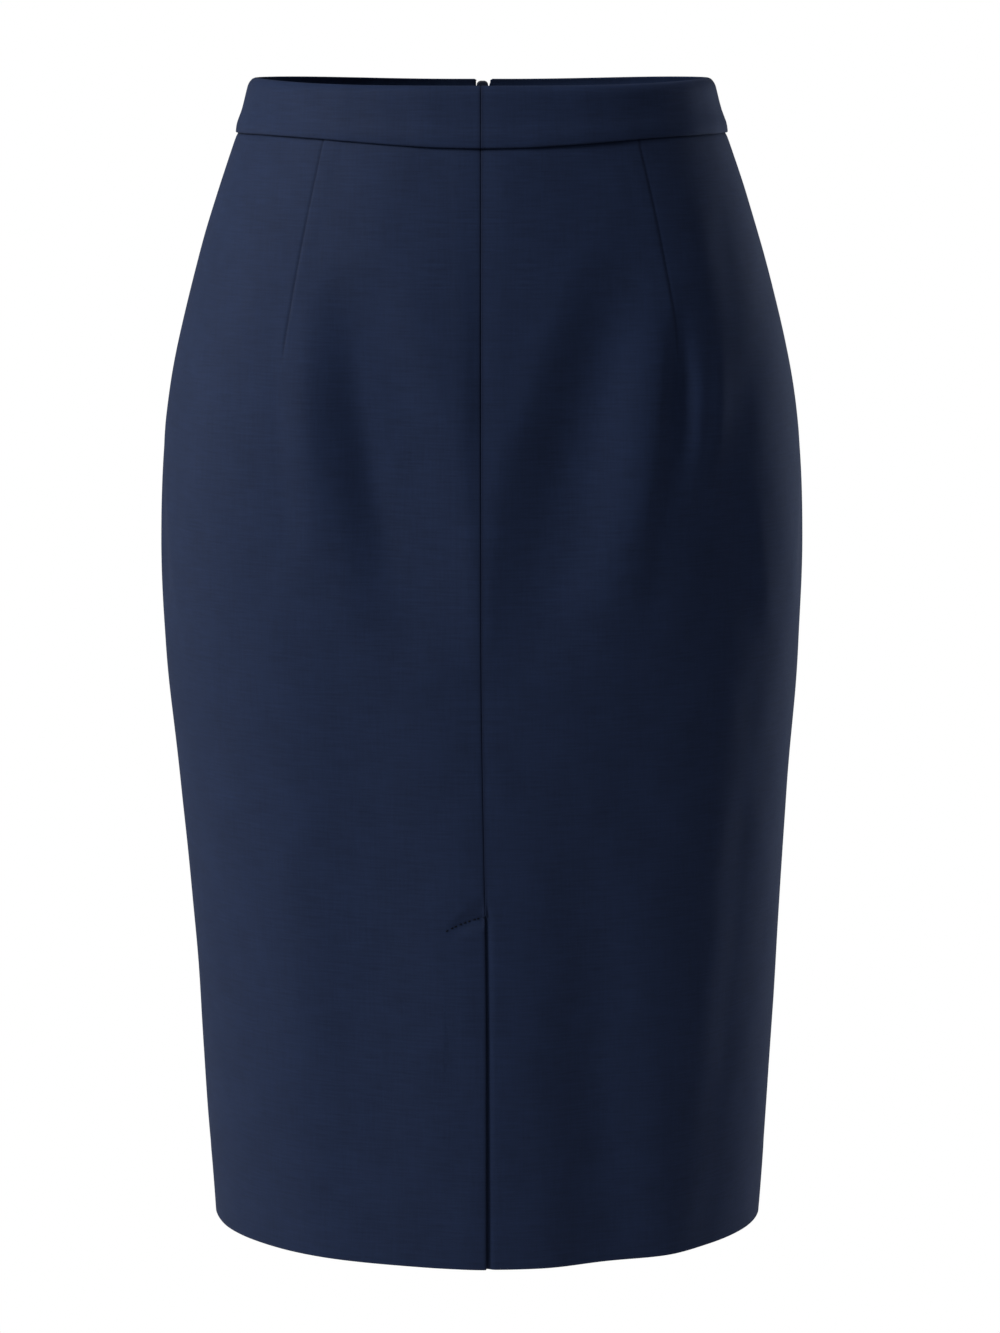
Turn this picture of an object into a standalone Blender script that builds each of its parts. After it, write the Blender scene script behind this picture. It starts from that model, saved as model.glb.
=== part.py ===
"""Navy pencil skirt, filled out as if worn and hollow inside.

Two front panels meet in a centre seam and lap at a vent, two back panels are
closed by a concealed zip, and a two-part waistband holds them at the waist.
Metres, +Z up, the wearer faces -Y, so the wearer's right side is at -X. The
origin is in the middle of the waist opening, level with the waistband's top
edge at the side seams. A drop is a distance below that level.
"""
import math

import bmesh
import bpy
import numpy as np
from mathutils import Matrix, Vector

# ---- driving dimensions, in metres ----
LENGTH = 0.617              # waistband's top edge to hem
BAND_HEIGHT = 0.0286        # waistband at the side seams
FRONT_TOP_DIP = 0.0030      # the top edge sinks this much at centre front
BACK_TOP_DIP = 0.0020       # and this much at centre back
FRONT_SEAM_DIP = 0.0058     # the waist seam sinks this much at centre front
BACK_SEAM_DIP = 0.0040      # and this much at centre back
BAND_WALL = 0.0022          # two layers of suiting and their stiffening
CLOTH_WALL = 0.0015         # suiting with what is turned in behind it
SEAM_GAP = 0.0003           # between neighbouring pieces
SEAM_HOLD = 0.0065          # width beside a centre seam that no fold reaches
HEM_SWAY = 0.0026           # the lower skirt hangs this far towards +X
SWAY_FROM, SWAY_TO = 0.28, 0.50

VENT_DROP = 0.428           # top of the front vent
UNDERLAP = 0.024            # width of cloth beneath the lap
UNDERLAP_SLANT = 0.0090     # the underlap's top edge falls this much across it
UNDERLAP_DEPTH = 0.0024     # its outer face, behind the lap's outer face
UNDERLAP_STEP = 0.0040      # the left panel sinks beneath the lap over this width

ZIP_LENGTH = 0.205          # drop of the zip's lower end
TAPE_TOP = 0.0140           # drop of the tapes' upper ends
TAPE_WIDTH = 0.012
TAPE_WALL = 0.0008
TAPE_BEHIND = 0.0010        # from the cloth's inner face to the tape

PIVOT_DROP = 0.0085         # the pull tab's pivot
PIVOT_STANDOFF = 0.00115    # the pivot, out from the waistband's face
SLIDER_BODY = (0.0064, 0.0030, 0.0103)  # its width, depth and height
SLIDER_RISE = 0.00085       # middle of the slider's body above the pivot
SLIDER_SHOULDER = 0.0024    # rounding of its two upper corners
SLIDER_BEHIND = 0.0004
CROWN_OUTER, CROWN_INNER = 0.00175, 0.00085
CROWN_WIDTH = 0.0012
TAB_LENGTH = 0.0220
TAB_WALL = 0.0008
TAB_BAR = 0.0004            # half the height of the bar that turns in the crown
TAB_EYE = (0.00095, 0.0026)  # the eye's half width and its lower edge below the pivot

COLUMNS = 15                # faces across a panel
ROWS_ABOVE_VENT, ROWS_BELOW_VENT = 18, 9
ARC_STEPS = 180

# The hollow form, a row for each level. half_width reaches to the side seam, front
# and back to the centre seams. fullness is the exponent of the section's curve:
# 2 is an ellipse and more is squarer.
BAND_SECTIONS = [
    dict(drop=0.000, half_width=0.1226, front=0.0955, back=0.0985, fullness=2.10),
    dict(drop=0.030, half_width=0.1302, front=0.1004, back=0.1030, fullness=2.10),
]
SKIRT_SECTIONS = [
    dict(drop=0.028, half_width=0.1290, front=0.0996, back=0.1020, fullness=2.10),
    dict(drop=0.060, half_width=0.1400, front=0.1050, back=0.1085, fullness=2.14),
    dict(drop=0.110, half_width=0.1546, front=0.1108, back=0.1185, fullness=2.18),
    dict(drop=0.160, half_width=0.1659, front=0.1138, back=0.1262, fullness=2.20),
    dict(drop=0.200, half_width=0.1706, front=0.1150, back=0.1290, fullness=2.20),
    dict(drop=0.245, half_width=0.1723, front=0.1155, back=0.1282, fullness=2.18),
    dict(drop=0.300, half_width=0.1705, front=0.1157, back=0.1252, fullness=2.14),
    dict(drop=0.380, half_width=0.1641, front=0.1160, back=0.1215, fullness=2.08),
    dict(drop=0.470, half_width=0.1579, front=0.1167, back=0.1190, fullness=2.03),
    dict(drop=0.560, half_width=0.1531, front=0.1176, back=0.1175, fullness=2.00),
    dict(drop=0.617, half_width=0.1493, front=0.1182, back=0.1170, fullness=2.00),
]

# The larger folds. Each runs from its top to its low end; round is its distance
# from the centre seam along the cloth, inner and outer its reach towards the
# centre and the side, and narrow the share of that reach at its top. lift is out
# (+) or in (-) at its deepest.
FOLDS = [
    dict(panel="front_right", top=0.092, low=0.302, round_top=0.074, round_low=0.033,
         inner=0.050, outer=0.036, narrow=0.7, lift=-0.0088),
    dict(panel="front_right", top=0.250, low=0.690, round_top=0.064, round_low=0.054,
         inner=0.055, outer=0.050, narrow=0.9, lift=-0.0038),
    dict(panel="front_right", top=0.180, low=0.292, round_top=0.226, round_low=0.196,
         inner=0.020, outer=0.024, narrow=1.0, lift=-0.0014),
    dict(panel="front_left", top=0.076, low=0.318, round_top=0.072, round_low=0.022,
         inner=0.041, outer=0.041, narrow=0.55, lift=-0.0072),
    dict(panel="front_left", top=0.090, low=0.285, round_top=0.099, round_low=0.074,
         inner=0.032, outer=0.018, narrow=0.8, lift=0.0024),
    dict(panel="front_left", top=0.112, low=0.200, round_top=0.106, round_low=0.108,
         inner=0.018, outer=0.014, narrow=1.0, lift=-0.0020),
    dict(panel="front_left", top=0.190, low=0.300, round_top=0.132, round_low=0.150,
         inner=0.040, outer=0.022, narrow=1.0, lift=-0.0020),
    dict(panel="front_left", top=0.225, low=0.700, round_top=0.136, round_low=0.094,
         inner=0.055, outer=0.030, narrow=1.0, lift=0.0029),
    dict(panel="front_left", top=0.375, low=0.760, round_top=0.048, round_low=0.080,
         inner=0.040, outer=0.038, narrow=0.8, lift=-0.0044),
    dict(panel="front_left", top=0.185, low=0.285, round_top=0.228, round_low=0.205,
         inner=0.018, outer=0.022, narrow=1.0, lift=-0.0013),
    dict(panel="back_right", top=0.105, low=0.300, round_top=0.090, round_low=0.050,
         inner=0.040, outer=0.026, narrow=0.7, lift=-0.0044),
    dict(panel="back_right", top=0.300, low=0.660, round_top=0.072, round_low=0.062,
         inner=0.056, outer=0.050, narrow=1.0, lift=-0.0024),
    dict(panel="back_left", top=0.110, low=0.285, round_top=0.099, round_low=0.063,
         inner=0.030, outer=0.024, narrow=0.8, lift=-0.0046),
    dict(panel="back_left", top=0.280, low=0.680, round_top=0.098, round_low=0.080,
         inner=0.060, outer=0.050, narrow=1.0, lift=-0.0022),
]

# The notch between the waistband's ends above the slider: how far each end
# stands from the middle, at a distance below the top edge.
NOTCH = [
    dict(below=0.0000, right=0.0036, left=0.0048),
    dict(below=0.0050, right=0.0033, left=0.0034),
    dict(below=0.0100, right=0.0017, left=0.0017),
    dict(below=0.0125, right=0.0004, left=0.0004),
]

# The pull tab's outline: half widths at distances below its pivot.
TAB_OUTLINE = [
    dict(below=-0.0004, half_width=0.0019),
    dict(below=0.0026, half_width=0.0019),
    dict(below=0.0048, half_width=0.0014),
    dict(below=0.0080, half_width=0.0015),
    dict(below=0.0140, half_width=0.0023),
    dict(below=0.0192, half_width=0.0028),
]


# ---- the hollow form ----
def column_curve(rows, along, column):
    """A smooth curve through one column of a table."""
    places = np.array([row[along] for row in rows])
    values = np.array([row[column] for row in rows])
    slopes = np.gradient(values, places)

    def curve(place):
        place = min(max(place, places[0]), places[-1])
        i = min(int(np.searchsorted(places, place, side="right")) - 1, len(places) - 2)
        span = places[i + 1] - places[i]
        t = (place - places[i]) / span
        ends = values[i] + (values[i + 1] - values[i]) * t * t * (3 - 2 * t)
        return ends + span * t * (1 - t) * (slopes[i] * (1 - t) - slopes[i + 1] * t)

    return curve


FORM = {
    name: {key: column_curve(rows, "drop", key) for key in rows[0] if key != "drop"}
    for name, rows in (("band", BAND_SECTIONS), ("skirt", SKIRT_SECTIONS))
}


def quarter(form, drop, back):
    """A quarter section from its centre seam to the side seam: out, forward, and
    the distance walked along it."""
    half_width = FORM[form]["half_width"](drop)
    depth = FORM[form]["back" if back else "front"](drop)
    fullness = FORM[form]["fullness"](drop)
    turn = np.linspace(0.0, math.pi / 2, ARC_STEPS + 1)
    across, ahead = np.abs(np.sin(turn)), np.abs(np.cos(turn))
    reach = ((across / half_width) ** fullness + (ahead / depth) ** fullness) ** (-1 / fullness)
    out, forward = reach * across, reach * ahead
    walked = np.concatenate(([0.0], np.cumsum(np.hypot(np.diff(out), np.diff(forward)))))
    return out, forward, walked


def sway(drop):
    """How far the section's middle hangs towards +X."""
    t = min(max((drop - SWAY_FROM) / (SWAY_TO - SWAY_FROM), 0.0), 1.0)
    return HEM_SWAY * t * t * (3 - 2 * t)


def on_form(form, drop, side, back, walk, lift=0.0):
    """The point at a distance from the centre seam along the cloth, moved out by lift.
    side is -1 for the wearer's right and 1 for the left."""
    out, forward, walked = quarter(form, drop, back)
    x, y = np.interp(abs(walk), walked, out), np.interp(abs(walk), walked, forward)
    step = 0.0005
    ahead, behind = min(abs(walk) + step, walked[-1]), max(abs(walk) - step, 0.0)
    along_x = np.interp(ahead, walked, out) - np.interp(behind, walked, out)
    along_y = np.interp(ahead, walked, forward) - np.interp(behind, walked, forward)
    length = math.hypot(along_x, along_y)
    x += -along_y / length * lift
    y += along_x / length * lift
    x = side * x if walk >= 0 else -side * x
    return Vector((x + sway(drop), y if back else -y, -drop))


def side_share(form, drop, side, back, walk):
    """A point's distance from the middle as a share of the half width: 0 at a centre
    seam and 1 at the side seam."""
    place = on_form(form, drop, side, back, walk)
    return min(abs(place.x) / FORM[form]["half_width"](drop), 1.0)


def top_drop(side, back, walk):
    """The waistband's top edge: nearly level across the front, dipping at the back."""
    share = side_share("band", 0.0, side, back, walk)
    if back:
        return BACK_TOP_DIP * (0.5 + 0.5 * math.cos(math.pi * share))
    return FRONT_TOP_DIP * (1 - share ** 4)


def seam_drop(side, back, walk):
    """The waist seam's drop."""
    dip = BACK_SEAM_DIP if back else FRONT_SEAM_DIP
    share = side_share("skirt", BAND_HEIGHT, side, back, walk)
    return BAND_HEIGHT + dip * (0.5 + 0.5 * math.cos(math.pi * share))


def fold_lift(panel, drop, walk):
    """How far the folds move the cloth out at a point of a panel. They die away
    beside the centre seam, which holds the cloth to the form."""
    lift = 0.0
    for fold in FOLDS:
        run = (drop - fold["top"]) / (fold["low"] - fold["top"])
        middle = fold["round_top"] + (fold["round_low"] - fold["round_top"]) * run
        reach = fold["inner"] if walk < middle else fold["outer"]
        reach *= fold["narrow"] + (1 - fold["narrow"]) * min(max(run, 0.0) * 2, 1.0)
        across = (walk - middle) / reach
        if fold["panel"] == panel and 0 < run < 1 and abs(across) < 1:
            lift += fold["lift"] * math.sin(math.pi * run) * (0.5 + 0.5 * math.cos(math.pi * across))
    return lift * min(max((walk - SEAM_HOLD) / 0.010, 0.0), 1.0)


# ---- making cloth ----
def new_object(name, data, material):
    """An object in the skirt's collection with its own material."""
    piece = bpy.data.objects.new(name, data)
    SKIRT.objects.link(piece)
    data.materials.append(material)
    return piece


def finish(name, colour, roughness, metallic=0.0):
    """A Principled material."""
    material = bpy.data.materials.new(name)
    material.use_nodes = True
    shader = material.node_tree.nodes["Principled BSDF"]
    shader.inputs["Base Color"].default_value = (*colour, 1.0)
    shader.inputs["Roughness"].default_value = roughness
    shader.inputs["Metallic"].default_value = metallic
    return material


def cloth_wall(name, columns, rows, place, wall, material, cut=None):
    """A closed wall of cloth: a grid laid on the form by place(column, row), less
    the faces that cut(column, row) names, thickened inwards."""
    sheet = bmesh.new()
    bmesh.ops.create_grid(sheet, x_segments=columns, y_segments=rows, size=0.5)
    cells = {}
    for vertex in sheet.verts:
        cells[vertex] = (round((vertex.co.x + 0.5) * columns), round((0.5 - vertex.co.y) * rows))
    if cut:
        gone = [face for face in sheet.faces
                if cut(min(cells[v][0] for v in face.verts), min(cells[v][1] for v in face.verts))]
        bmesh.ops.delete(sheet, geom=gone, context="FACES")
    for vertex in sheet.verts:
        vertex.co = place(*cells[vertex])
    sheet.normal_update()
    outward = sum(face.normal.x * face.calc_center_median().x
                  + face.normal.y * face.calc_center_median().y for face in sheet.faces)
    if outward < 0:
        bmesh.ops.reverse_faces(sheet, faces=sheet.faces[:])
    mesh = bpy.data.meshes.new(name)
    sheet.to_mesh(mesh)
    sheet.free()
    mesh.shade_smooth()
    piece = new_object(name, mesh, material)
    thicken = piece.modifiers.new("wall", "SOLIDIFY")
    thicken.thickness = wall
    thicken.offset = -1.0
    thicken.use_even_offset = True
    return piece


def spread(count):
    """Places from 0 at a centre seam to 1 at a side seam, closer where the form turns
    fastest."""
    steps = np.linspace(0.0, 1.0, count + 1)
    crowding = 0.35
    return steps * (1 + crowding) - crowding * steps ** 2


def row_drop(top, row):
    """A panel's level for a row of its grid, which has a row at the vent's top."""
    if row <= ROWS_ABOVE_VENT:
        return top + (VENT_DROP - top) * row / ROWS_ABOVE_VENT
    return VENT_DROP + (LENGTH - VENT_DROP) * (row - ROWS_ABOVE_VENT) / ROWS_BELOW_VENT


# ---- the pieces ----
def panel(name, side, back, material):
    """A front or back panel, from its centre seam to its side seam."""
    places = [0.0, 0.024] + list(spread(COLUMNS)[1:])

    def place(column, row):
        waist = quarter("skirt", BAND_HEIGHT, back)[2][-1] * places[column]
        drop = row_drop(seam_drop(side, back, waist) + SEAM_GAP, row)
        girth = quarter("skirt", drop, back)[2][-1] - SEAM_GAP
        walk = SEAM_GAP / 2 + girth * places[column]
        return on_form("skirt", drop, side, back, walk, fold_lift(name, drop, walk))

    return cloth_wall(name + "_panel", COLUMNS + 1, ROWS_ABOVE_VENT + ROWS_BELOW_VENT, place,
                      CLOTH_WALL, material)


def front_left_panel(material):
    """The left front, cut in one with the underlap, which passes behind the right
    front's edge from the vent's top down."""
    name, side, back = "front_left", 1, False
    under = [-UNDERLAP, -UNDERLAP / 2]
    edge, step = len(under), len(under) + 1
    shares = [0.0] * (step + 1) + list(spread(COLUMNS)[1:])

    def sink(drop):
        """How far the panel's edge has sunk beneath the lap at a level."""
        return UNDERLAP_DEPTH * min(max((drop - VENT_DROP) / 0.020 + 1.0, 0.0), 1.0)

    def place(column, row):
        share = shares[column]
        waist = quarter("skirt", BAND_HEIGHT, back)[2][-1] * share
        drop = row_drop(seam_drop(side, back, waist) + SEAM_GAP, row)
        if column < edge:
            if row == ROWS_ABOVE_VENT:
                drop += UNDERLAP_SLANT * abs(under[column]) / UNDERLAP
            lift = fold_lift("front_right", drop, -under[column]) - UNDERLAP_DEPTH
            return on_form("skirt", drop, side, back, under[column], lift)
        girth = quarter("skirt", drop, back)[2][-1] - SEAM_GAP
        walk = SEAM_GAP / 2 + (UNDERLAP_STEP if column == step else girth * share)
        lift = -sink(drop) if column == edge else fold_lift(name, drop, walk)
        return on_form("skirt", drop, side, back, walk, lift)

    return cloth_wall(name + "_panel", len(shares) - 1, ROWS_ABOVE_VENT + ROWS_BELOW_VENT, place,
                      CLOTH_WALL, material,
                      cut=lambda column, row: column < edge and row < ROWS_ABOVE_VENT)


def waistband(name, side, material):
    """Half the waistband, from the centre-front seam round to the zip."""
    end = name.rsplit("_", 1)[-1]
    notch = column_curve(NOTCH, "below", end)
    half = 12
    places = spread(half)
    levels = [row["below"] for row in NOTCH]

    def place(column, row):
        back = column > half
        share = places[2 * half - column] if back else places[column]
        girth = quarter("band", 0.0, back)[2][-1]
        top = top_drop(side, back, girth * share)
        low = seam_drop(side, back, girth * share)
        drop = top + levels[row] if row < len(levels) else low
        start = SEAM_GAP / 2
        if back:
            start = notch(drop - top)
        girth = quarter("band", drop, back)[2][-1]
        return on_form("band", drop, side, back, start + (girth - start) * share)

    return cloth_wall(name, 2 * half, len(levels), place, BAND_WALL, material)


def zip_tape(name, side, material):
    """One tape of the concealed zip, behind the back seam. Its upper end passes
    behind the waistband, so its second row is just below the waist seam."""
    columns, rows = 2, 10
    seam = BAND_HEIGHT + BACK_SEAM_DIP + 0.002
    levels = [TAPE_TOP] + list(np.linspace(seam, ZIP_LENGTH, rows))

    def place(column, row):
        drop = levels[row]
        wall = BAND_WALL if drop <= seam else CLOTH_WALL
        walk = SEAM_GAP + TAPE_WIDTH * column / columns
        form = "band" if drop < BAND_HEIGHT else "skirt"
        return on_form(form, drop, side, True, walk, -(wall + TAPE_BEHIND))

    return cloth_wall(name, columns, rows, place, TAPE_WALL, material)


def outline_curve(name, loops, half_thickness):
    """A flat plate: closed loops of points in a plane, the later ones holes."""
    curve = bpy.data.curves.new(name, "CURVE")
    curve.dimensions = "2D"
    curve.fill_mode = "BOTH"
    curve.extrude = half_thickness
    for loop in loops:
        spline = curve.splines.new("POLY")
        spline.points.add(len(loop) - 1)
        for point, (x, y) in zip(spline.points, loop):
            point.co = (x, y, 0.0, 1.0)
        spline.use_cyclic_u = True
    return curve


def arc(centre, radius, start, end, steps):
    """Points along an arc, from start to end in degrees."""
    angles = [math.radians(start + (end - start) * i / steps) for i in range(steps + 1)]
    return [(centre[0] + radius * math.cos(a), centre[1] + radius * math.sin(a)) for a in angles]


def zip_hinge():
    """An empty on the pull tab's pivot, its Y out from the waistband and its Z up
    along it."""
    rise = FORM["band"]["back"](BAND_HEIGHT) - FORM["band"]["back"](0.0)
    slope = math.atan2(rise, BAND_HEIGHT)
    face = Vector((0.0, FORM["band"]["back"](PIVOT_DROP), -PIVOT_DROP))
    hinge = bpy.data.objects.new("zip_hinge", None)
    SKIRT.objects.link(hinge)
    hinge.rotation_euler = (slope, 0.0, 0.0)
    hinge.location = face + Matrix.Rotation(slope, 3, "X") @ Vector((0.0, PIVOT_STANDOFF, 0.0))
    return hinge


def zip_slider(hinge, material):
    """The slider: a rounded body inside the band, and a crown that reaches out
    through the notch to carry the pull tab."""
    behind = PIVOT_STANDOFF + BAND_WALL + SLIDER_BEHIND
    root = -behind - SLIDER_BODY[1] / 4
    outer = ([(root, -CROWN_OUTER)] + arc((0.0, 0.0), CROWN_OUTER, -90, 90, 10)
             + [(root, CROWN_OUTER)])
    hole = arc((0.0, 0.0), CROWN_INNER, 0, 330, 11)
    crown_curve = bpy.data.objects.new("crown_outline",
                                       outline_curve("crown_outline", [outer, hole], CROWN_WIDTH / 2))
    TOOLS.objects.link(crown_curve)
    bpy.context.view_layer.update()
    graph = bpy.context.evaluated_depsgraph_get()
    crown_mesh = bpy.data.meshes.new_from_object(crown_curve.evaluated_get(graph))
    bpy.data.objects.remove(crown_curve, do_unlink=True)
    weld = bmesh.new()
    weld.from_mesh(crown_mesh)
    bmesh.ops.remove_doubles(weld, verts=weld.verts[:], dist=0.00001)
    bmesh.ops.recalc_face_normals(weld, faces=weld.faces[:])
    weld.to_mesh(crown_mesh)
    weld.free()
    crown = bpy.data.objects.new("crown", crown_mesh)
    TOOLS.objects.link(crown)
    crown.parent = hinge
    crown.rotation_euler = (math.pi / 2, 0.0, math.pi / 2)
    crown.hide_render = True
    crown.display_type = "WIRE"

    block = bmesh.new()
    bmesh.ops.create_cube(block, size=1.0)
    bmesh.ops.scale(block, vec=SLIDER_BODY, verts=block.verts[:])
    shoulders = [edge for edge in block.edges
                 if all(end.co.z > 0 for end in edge.verts) and edge.verts[0].co.x * edge.verts[1].co.x > 0]
    bmesh.ops.bevel(block, geom=shoulders, offset=SLIDER_SHOULDER, segments=6, affect="EDGES", profile=0.5)
    rims = [edge for edge in block.edges if edge.calc_face_angle() > 0.6]
    bmesh.ops.bevel(block, geom=rims, offset=0.0005, segments=2, affect="EDGES", profile=0.5)
    mesh = bpy.data.meshes.new("zip_slider")
    block.to_mesh(mesh)
    block.free()
    slider = new_object("zip_slider", mesh, material)
    slider.parent = hinge
    slider.location = (0.0, -behind - SLIDER_BODY[1] / 2, SLIDER_RISE)
    join = slider.modifiers.new("crown", "BOOLEAN")
    join.operation = "UNION"
    join.solver = "EXACT"
    join.object = crown
    return slider


def zip_pull(hinge, material):
    """The pull tab, hanging from the crown by its eye."""
    width = column_curve(TAB_OUTLINE, "below", "half_width")
    first, last = TAB_OUTLINE[0]["below"], TAB_OUTLINE[-1]["below"]
    depths = np.linspace(first, last, 14)
    left = [(-width(depth), -depth) for depth in depths]
    end = arc((0.0, -last), TAB_LENGTH - last, 180, 360, 10)[1:-1]
    right = [(width(depth), -depth) for depth in reversed(depths)]
    eye_width, eye_low = TAB_EYE
    eye = [(-eye_width, -TAB_BAR), (eye_width, -TAB_BAR)] + arc(
        (0.0, -eye_low + eye_width), eye_width, 0, -180, 8)
    tab = new_object("zip_pull", outline_curve("zip_pull", [left + end + right, eye], TAB_WALL / 2),
                     material)
    tab.parent = hinge
    tab.rotation_euler = (math.pi / 2, 0.0, 0.0)
    return tab


# ---- assembly ----
for leftover in list(bpy.data.objects):
    bpy.data.objects.remove(leftover, do_unlink=True)
SKIRT = bpy.data.collections.new("pencil_skirt")
TOOLS = bpy.data.collections.new("tools")
for group in (SKIRT, TOOLS):
    bpy.context.scene.collection.children.link(group)

SUITING = finish("navy_suiting", (0.010, 0.019, 0.051), 0.75)
BAND_CLOTH = finish("waistband_suiting", (0.010, 0.019, 0.051), 0.75)
TAPE = finish("zip_tape", (0.008, 0.012, 0.026), 0.85)
ZIP_METAL = finish("zip_lacquer", (0.010, 0.014, 0.030), 0.35, 0.3)

panel("front_right", -1, False, SUITING)
front_left_panel(SUITING)
panel("back_right", -1, True, SUITING)
panel("back_left", 1, True, SUITING)
waistband("waistband_right", -1, BAND_CLOTH)
waistband("waistband_left", 1, BAND_CLOTH)
zip_tape("zip_tape_right", -1, TAPE)
zip_tape("zip_tape_left", 1, TAPE)
HINGE = zip_hinge()
zip_slider(HINGE, ZIP_METAL)
zip_pull(HINGE, ZIP_METAL)
bpy.context.view_layer.update()
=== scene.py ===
"""Navy pencil skirt, filled out as if worn: its cloth, seams, zip and studio."""
import math

import bpy
import numpy as np
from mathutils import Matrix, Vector


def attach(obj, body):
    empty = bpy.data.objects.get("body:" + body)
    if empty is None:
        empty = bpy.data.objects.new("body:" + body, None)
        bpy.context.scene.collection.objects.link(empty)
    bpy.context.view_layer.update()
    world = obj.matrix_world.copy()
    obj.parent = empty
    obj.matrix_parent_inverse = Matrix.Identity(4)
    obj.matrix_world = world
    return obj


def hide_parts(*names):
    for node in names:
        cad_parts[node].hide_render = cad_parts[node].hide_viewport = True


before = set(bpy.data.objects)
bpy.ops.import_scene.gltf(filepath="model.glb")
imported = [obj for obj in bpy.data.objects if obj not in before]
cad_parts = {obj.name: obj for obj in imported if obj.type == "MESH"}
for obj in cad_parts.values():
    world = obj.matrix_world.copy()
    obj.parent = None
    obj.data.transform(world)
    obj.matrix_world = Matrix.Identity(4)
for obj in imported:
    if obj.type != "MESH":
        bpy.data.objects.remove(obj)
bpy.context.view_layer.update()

# ---------------------------------------------------------------------------
# The cut of the skirt and its two front panels. Light wool suiting, cut to a
# general figure, with a dart each side; every edge is turned in and pressed,
# and the hem is turned up inside.
# ---------------------------------------------------------------------------
LENGTH = 0.617
BAND_HEIGHT = 0.0286
FRONT_TOP_DIP, BACK_TOP_DIP = 0.0030, 0.0020
FRONT_SEAM_DIP, BACK_SEAM_DIP = 0.0058, 0.0040
HEM_SWAY, SWAY_FROM, SWAY_TO = 0.0026, 0.28, 0.50
VENT_DROP = 0.428

SKIRT_SECTIONS = [
    dict(drop=0.028, half_width=0.1290, front=0.0996, back=0.1020, fullness=2.10),
    dict(drop=0.060, half_width=0.1400, front=0.1050, back=0.1085, fullness=2.14),
    dict(drop=0.110, half_width=0.1546, front=0.1108, back=0.1185, fullness=2.18),
    dict(drop=0.160, half_width=0.1659, front=0.1138, back=0.1262, fullness=2.20),
    dict(drop=0.200, half_width=0.1706, front=0.1150, back=0.1290, fullness=2.20),
    dict(drop=0.245, half_width=0.1723, front=0.1155, back=0.1282, fullness=2.18),
    dict(drop=0.300, half_width=0.1705, front=0.1157, back=0.1252, fullness=2.14),
    dict(drop=0.380, half_width=0.1641, front=0.1160, back=0.1215, fullness=2.08),
    dict(drop=0.470, half_width=0.1579, front=0.1167, back=0.1190, fullness=2.03),
    dict(drop=0.560, half_width=0.1531, front=0.1176, back=0.1175, fullness=2.00),
    dict(drop=0.617, half_width=0.1493, front=0.1182, back=0.1170, fullness=2.00),
]
LEVEL_STEP = 0.001
SHARES = 320


def table_curve(rows, along, column, places):
    """A smooth curve through one column of a table, read at many places."""
    knots = np.array([row[along] for row in rows])
    values = np.array([row[column] for row in rows])
    slopes = np.gradient(values, knots)
    places = np.clip(places, knots[0], knots[-1])
    i = np.clip(np.searchsorted(knots, places, side="right") - 1, 0, len(knots) - 2)
    span = knots[i + 1] - knots[i]
    t = (places - knots[i]) / span
    blend = values[i] + (values[i + 1] - values[i]) * t * t * (3 - 2 * t)
    return blend + span * t * (1 - t) * (slopes[i] * (1 - t) - slopes[i + 1] * t)


def hollow_form(rows):
    """The form that the sections make. For front and back it holds each level's
    girth, and at even shares of that girth the place and the way out."""
    levels = np.arange(rows[0]["drop"], rows[-1]["drop"] + LEVEL_STEP * 1.5, LEVEL_STEP)
    turn = np.linspace(0, math.pi / 2, 721)
    across, ahead = np.sin(turn), np.abs(np.cos(turn))
    even = np.linspace(0, 1, SHARES + 1)
    half_width = table_curve(rows, "drop", "half_width", levels)
    fullness = table_curve(rows, "drop", "fullness", levels)
    form = {"top": levels[0], "levels": len(levels), "half_width": half_width}
    for face in ("front", "back"):
        depth = table_curve(rows, "drop", face, levels)
        table = np.zeros((len(levels), SHARES + 1, 4))
        girth = np.zeros(len(levels))
        for i, (a, b, n) in enumerate(zip(half_width, depth, fullness)):
            reach = ((across / a) ** n + (ahead / b) ** n) ** (-1 / n)
            out, forward = reach * across, reach * ahead
            walked = np.concatenate(([0], np.cumsum(np.hypot(np.diff(out), np.diff(forward)))))
            girth[i] = walked[-1]
            table[i, :, 0] = np.interp(even * walked[-1], walked, out)
            table[i, :, 1] = np.interp(even * walked[-1], walked, forward)
        turn_out, turn_ahead = np.gradient(table[:, :, 0], axis=1), np.gradient(table[:, :, 1], axis=1)
        length = np.hypot(turn_out, turn_ahead)
        table[:, :, 2], table[:, :, 3] = -turn_ahead / length, turn_out / length
        table[:, 0, 2:] = (0, 1)
        table[:, -1, 2:] = (1, 0)
        form[face] = {"girth": girth, "table": table}
    return form


def level_of(form, drop):
    """A drop as a row of the form's table, and how far it is towards the next row."""
    level = np.clip((drop - form["top"]) / LEVEL_STEP, 0, form["levels"] - 1.001)
    return level.astype(int), level - level.astype(int)


def girth_at(form, face, drop):
    """The distance round from centre seam to side seam."""
    i, f = level_of(form, drop)
    girth = form[face]["girth"]
    return girth[i] * (1 - f) + girth[i + 1] * f


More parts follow.
